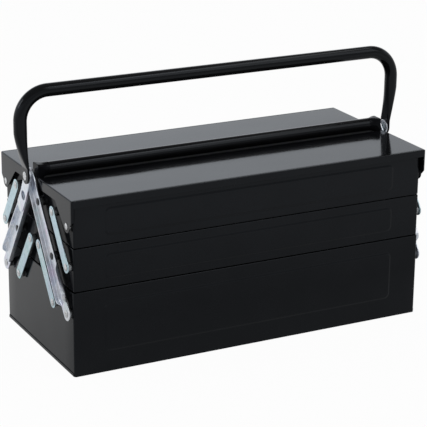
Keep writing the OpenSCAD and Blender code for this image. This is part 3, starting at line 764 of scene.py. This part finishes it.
# ---------------------------------------------------------------- grab bar
# A straight 18 mm steel tube lies in the gap between the lids. Each end flares into a flat end plate,
# and the foot welded under it is riveted to the end of the front top tray. It is enamelled black.
tube_r, bar_z = 9.0, 252.5
tab_x, tab_a, tab_half, flare_x = 265.0, 1.4, 10.0, 250.0
cut_normal, cut_reach, corner_power = (0.584, -0.812), 8.15, 9
foot_low, foot_top, foot_mid, foot_half = 218.4, 243.0, -6.3, 5.5
toe_r, heel_r = 4.0, 1.0
foot_rivet_z, foot_pin_r, foot_head_r = (229.8, 222.4), 2.0, 3.0


def tab_reach(angle):
    """Distance from the bar's middle to the edge of its flat end, at an angle. For each side, at the
    distance d along the normal (a, b), the term is max((a cos + b sin) / d, 0); the reach is the sum
    of the terms' 9th powers to the power -1/9, which rounds the corners. The last side is the corner
    cut along the rear tray's path."""
    sides = [(1, 0, tab_half), (-1, 0, tab_half), (0, 1, tube_r), (0, -1, bar_z - top_z[1] - 0.3),
             (*cut_normal, cut_reach)]
    near = sum(np.maximum((a * np.cos(angle) + b * np.sin(angle)) / d, 0) ** corner_power
               for a, b, d in sides)
    return near ** (-1 / corner_power)


angle = np.linspace(0, 2 * np.pi, 72, endpoint=False)
run = np.concatenate([[0, 120, 200, 245, 249, 250.2], np.linspace(251, tab_x - tab_a, 12)])
press = smooth((run - flare_x) / (tab_x - tab_a + 1 - flare_x))[:, None]
reach = tube_r + (tab_reach(angle) - tube_r) * press
rim = tab_reach(angle)[None] - np.array([0, 0, 0.12, 0.4, 1.2])[:, None]
reach = np.concatenate([reach, rim])
run = np.concatenate([run, tab_x + tab_a - np.array([2.0, 0.45, 0.12, 0, 0])])
rings = np.stack([np.broadcast_to(run[:, None], reach.shape), reach * np.cos(angle),
                  bar_z + reach * np.sin(angle)], axis=2)
bar = Shell()
bar.grid(np.concatenate([(rings * [-1, 1, 1])[:0:-1], rings]))
toe, heel = foot_half - toe_r, foot_half - heel_r
outline = np.concatenate([arc(foot_mid + toe, foot_low + toe_r, toe_r, -90, 0, 7),
                          arc(foot_mid + heel, foot_top - heel_r, heel_r, 0, 90, 3),
                          arc(foot_mid - heel, foot_top - heel_r, heel_r, 90, 180, 3),
                          arc(foot_mid - toe, foot_low + toe_r, toe_r, 180, 270, 7)])
foot = edge_grid(outline, edge_rows(tab_x - tab_a, tab_x + tab_a - 0.2), inward_of(outline))
for end in (1, -1):
    bar.grid(foot * [end, 1, 1])
tube_enamel = gloss_paint("black_tube_enamel", (0.006, 0.006, 0.0065), 0.09, 0.0001)
piece = put("grab_bar_tube", bar, "front_top", "painted_tube", tube_enamel, "grab_bar", "grab_bar_feet")
# Painted shade: the flared ends take the darker copy of the enamel, which dims their reflection.
refinish(piece, painted_shade_ends, lambda x, y, z: np.abs(x) > flare_x - 1)
foot_rivets = Shell()
foot_rivet = rivet_profile(top_x - sheet, tab_x + tab_a, foot_pin_r, foot_head_r, head_h)
for z in foot_rivet_z:
    turned(foot_rivets, foot_rivet, np.array([foot_mid, z]), 28)
put("grab_bar_foot_rivets", foot_rivets, "front_top", "rivet_steel", bright_rivet, "grab_bar_rivets")

# ---------------------------------------------------------------- carry handle
# The carry handle is one 18 mm tube bent to a bow. Its ends are pressed flat into paddles with round
# ends, and each turns on a rivet through the plate on the rear arm. It is enamelled like the bar.
leg_x, bow_z, bow_bend = 286.6, 359.5, 39.0
paddle_x, paddle_a, paddle_b = 280.3, 1.5, 11.0
flat_z, pinch_z, pinch_power = 256.5, 306.0, 1.4
flat_steps, round_steps, first_angle = 9, 23, -25.3


def tube_rings(centre, up, flat, wide, round_):
    """Rings of a tube from its path: centre [X, Y, Z], up [X, Z] across the path, half thickness flat,
    half width wide along Y, and round_ from 0, a strip with rounded edges, to 1, an ellipse:
    point = centre + up * across + Y * along, with both blended between the two outlines."""
    steps = 2 * (flat_steps + round_steps)
    a = np.linspace(0, 2 * np.pi, steps, endpoint=False) + np.radians(first_angle)
    side = np.linspace(-1, 1, flat_steps, endpoint=False)
    run = np.concatenate([side, np.ones(round_steps), -side, -np.ones(round_steps)])
    half_turn = np.linspace(0, 180, round_steps, endpoint=False)
    edge_turn = np.radians(np.concatenate([np.zeros(flat_steps), half_turn, np.full(flat_steps, 180),
                                           180 + half_turn]))
    edge = np.minimum(flat, wide)[:, None]
    strip_across = flat[:, None] * np.cos(edge_turn)
    strip_along = edge * np.sin(edge_turn) + (wide[:, None] - edge) * run
    m = round_[:, None]
    across = (1 - m) * strip_across + m * flat[:, None] * np.cos(a)
    along = (1 - m) * strip_along + m * wide[:, None] * np.sin(a)
    p = np.empty(across.shape + (3,))
    p[..., 0] = centre[:, :1] + up[:, :1] * across
    p[..., 1] = centre[:, 1:2] + along
    p[..., 2] = centre[:, 2:] + up[:, 1:] * across
    return p


def bow_half():
    """Half of the bow from the middle of its crossbar down to the paddle: a straight run, a quarter
    bend, the leg, the pinch in which it flattens against its inner side, and the paddle's round end.
    The pinch goes from 0 to 1 as the power 1.4 of the share of the way down from pinch_z to flat_z."""
    x = np.array([0, 60, 120, 180, 220, 240, leg_x - bow_bend - 0.6])
    crossbar = np.column_stack([x, 0 * x, np.full(x.size, bow_z)])
    turn = np.radians(np.linspace(0, 90, 30))
    way = np.column_stack([np.sin(turn), np.cos(turn)])
    corner = np.array([leg_x - bow_bend, bow_z - bow_bend]) + bow_bend * way
    bend = np.column_stack([corner[:, 0], 0 * turn, corner[:, 1]])
    z = np.concatenate([[bow_z - bow_bend - 0.6, 314, 309], np.linspace(pinch_z, flat_z, 28),
                        [flat_z - 0.4, 251],
                        bow_pivot[1] - paddle_b * np.sin(np.radians(np.linspace(0, 90, 16)))])
    pinch = np.clip((pinch_z - z) / (pinch_z - flat_z), 0, 1) ** pinch_power
    squash = tube_r + (paddle_a - tube_r) * pinch
    inner = leg_x - tube_r + (paddle_x - paddle_a - leg_x + tube_r) * pinch
    leg = np.column_stack([inner + squash, 0 * z, z])
    round_end = np.sqrt(np.maximum(paddle_b ** 2 - np.maximum(bow_pivot[1] - z, 0) ** 2, 0))
    widening = np.where(z > flat_z, tube_r + (paddle_b - tube_r) * pinch, round_end)
    before = np.full(x.size + turn.size, tube_r)
    wide = np.maximum(np.concatenate([before, widening]), 0.01)
    flat = np.minimum(np.concatenate([before, squash]), wide)
    round_ = np.concatenate([np.ones(before.size), 1 - pinch])
    up = np.concatenate([np.tile([0.0, 1.0], (x.size, 1)), way, np.tile([1.0, 0.0], (z.size, 1))])
    return np.concatenate([crossbar, bend, leg]), up, flat, wide, round_


rings = tube_rings(*bow_half())
bow = Shell()
bow.grid(np.concatenate([(rings * [-1, 1, 1])[:0:-1], rings]))
put("carry_handle_tube", bow, "carry_handle", "painted_tube", tube_enamel, "carry_handle")
bow_rivets = Shell()
bow_head_r, weld_x = 6.0, plate_x + 0.01
crown = rivet_profile(weld_x, paddle_x + paddle_a + play, pin_r, bow_head_r, head_h)
stem = crown[len(crown) // 2:]
turned(bow_rivets, np.concatenate([[[weld_x, axis_r], [weld_x, pin_r]], stem]), bow_pivot)
put("handle_pivot_rivets", bow_rivets, "rear_arms", "rivet_steel", bright_rivet, "handle_rivets")

# ---------------------------------------------------------------- studio
# The box stands on a white card under soft light, with four softboxes round it. In reflections only, the
# card carries painted shade: a painted shadow of the box, darkest about 0.3 m in front of it, lighter
# further in front and brighter behind. The room behind is bright up to 25 degrees above the horizon.
card_half = 9.0
floor_mesh = bpy.data.meshes.new("pale_floor")
corners = card_half * np.array([[-1, -1, 0], [1, -1, 0], [1, 1, 0], [-1, 1, 0]])
floor_mesh.from_pydata(corners.tolist(), [], [[0, 1, 2, 3]])
floor = bpy.data.objects.new("pale_floor", floor_mesh)
bpy.context.scene.collection.objects.link(floor)

card, tree, shader = nodes_of("white_card")
tree.nodes.remove(shader)
path = node(tree, "ShaderNodeLightPath").outputs
spot = node(tree, "ShaderNodeTexCoord").outputs["Object"]
ahead = node(tree, "ShaderNodeSeparateXYZ", {"Vector": spot}).outputs["Y"]
# tone is painted shade that only reflections see: a painted shadow of the box, darkest about 0.3 m in
# front of it.
tone = ramp(tree, math(tree, "MULTIPLY_ADD", ahead, 0.6, 0.5),
            (0.08, 0.66), (0.33, 0.42), (0.62, 0.76), (0.90, 1.0))
grain = ramp(tree, noise(tree, spot, 40.0), (0.3, 0.86), (0.7, 0.93))
reflected = math(tree, "MAXIMUM", path["Is Glossy Ray"], path["Is Transmission Ray"])
matt = node(tree, "ShaderNodeBsdfDiffuse", {"Color": mixed(tree, reflected, grain, tone)})
glow = node(tree, "ShaderNodeEmission", {"Color": (1, 1, 1, 1), "Strength": 1.0})
# In reflections the white glow also follows the painted shade.
in_gloss = math(tree, "MULTIPLY", math(tree, "MULTIPLY", reflected, tone), 0.75)
share = math(tree, "MULTIPLY_ADD", path["Is Camera Ray"], 0.965, in_gloss)
surface = node(tree, "ShaderNodeMixShader", {0: share, 1: matt.outputs[0], 2: glow.outputs[0]})
tree.links.new(surface.outputs[0], tree.nodes["Material Output"].inputs["Surface"])
floor_mesh.materials.append(card)

world = bpy.data.worlds.new("studio")
bpy.context.scene.world = world
world.use_nodes = True
tree = world.node_tree
sky = node(tree, "ShaderNodeTexCoord").outputs["Generated"]
heading = node(tree, "ShaderNodeSeparateXYZ", {"Vector": sky}).outputs
rear = math(tree, "MULTIPLY_ADD", heading["Y"], 0.5, 0.62)
tilt = math(tree, "MULTIPLY_ADD", heading["Z"], 0.5, 0.5)
side = math(tree, "MULTIPLY_ADD", heading["X"], 0.5, 0.5)
sweep = ramp(tree, tilt, (0.50, (0.97, 0.99, 1.0)), (0.63, (0.96, 1.02, 1.10)),
             (0.70, (1.04, 1.11, 1.20)), (0.76, 0.26))
sweep = mixed(tree, 1.0, sweep, ramp(tree, side, (0.64, 1.2), (0.77, 0.78)), "MULTIPLY")
room = ramp(tree, tilt, (0.50, 0.30), (0.60, 0.42), (0.85, 0.30))
lit = mixed(tree, rear, room, sweep)
shown = mixed(tree, node(tree, "ShaderNodeLightPath").outputs["Is Camera Ray"], lit, (1, 1, 1, 1))
tree.links.new(shown, tree.nodes["Background"].inputs["Color"])


def placed(made, x, y, z, place):
    """Puts an object at a place, in metres, with its own axes along x, y and z, and in the scene."""
    rows = np.column_stack([x, y, z, place])
    made.matrix_world = Matrix([*rows.tolist(), [0, 0, 0, 1]])
    bpy.context.scene.collection.objects.link(made)


def softbox(name, place, aim, wide, deep, power):
    """A lamp at a place, turned so that its face looks at the aim and its width lies level: its z axis
    is the unit vector from aim to place, and its x axis is level and square to z."""
    lamp = bpy.data.lights.new(name, "AREA")
    lamp.shape, lamp.size, lamp.size_y, lamp.energy = "RECTANGLE", wide, deep, power
    z = np.subtract(place, aim) / np.linalg.norm(np.subtract(place, aim))
    x = np.cross((0, 0, 1), z) / np.linalg.norm(np.cross((0, 0, 1), z))
    placed(bpy.data.objects.new(name, lamp), x, np.cross(z, x), z, place)


softbox("rear_softbox", (1.3, 2.6, 1.3), (0, 0, 0.2), 1.8, 1.8, 2.5)
softbox("overhead_softbox", (0.9, -0.4, 2.0), (0, 0, 0.2), 1.6, 0.3, 3)
softbox("front_softbox", (1.1, -1.45, 1.9), (0, 0, 0.15), 1.5, 1.5, 9)
softbox("left_softbox", (-2.2, 0.6, 1.5), (0, 0, 0.15), 0.9, 0.9, 8)

# The camera stands before the left front corner, fitted to the corners of the box: its azimuth,
# elevation and roll in degrees, the point it looks at, and its distance from there.
azimuth, elevation, roll = np.radians([27.53, 18.70, 0.592])
look_at, distance = np.array([-0.378, 0, 152.37]), 2485.8
camera = bpy.data.cameras.new("photo_view")
camera.lens, camera.sensor_width = 148.96, 36.0
back = np.array([-np.sin(azimuth) * np.cos(elevation), -np.cos(azimuth) * np.cos(elevation),
                 np.sin(elevation)])
right = np.cross(-back, (0, 0, 1)) / np.linalg.norm(np.cross(-back, (0, 0, 1)))
upward = np.cross(right, -back)
view = bpy.data.objects.new("photo_view", camera)
placed(view, np.cos(roll) * right + np.sin(roll) * upward, np.cos(roll) * upward - np.sin(roll) * right,
       back, (look_at + distance * back) * MM)
bpy.context.scene.camera = view
bpy.context.scene.view_settings.view_transform = "Standard"
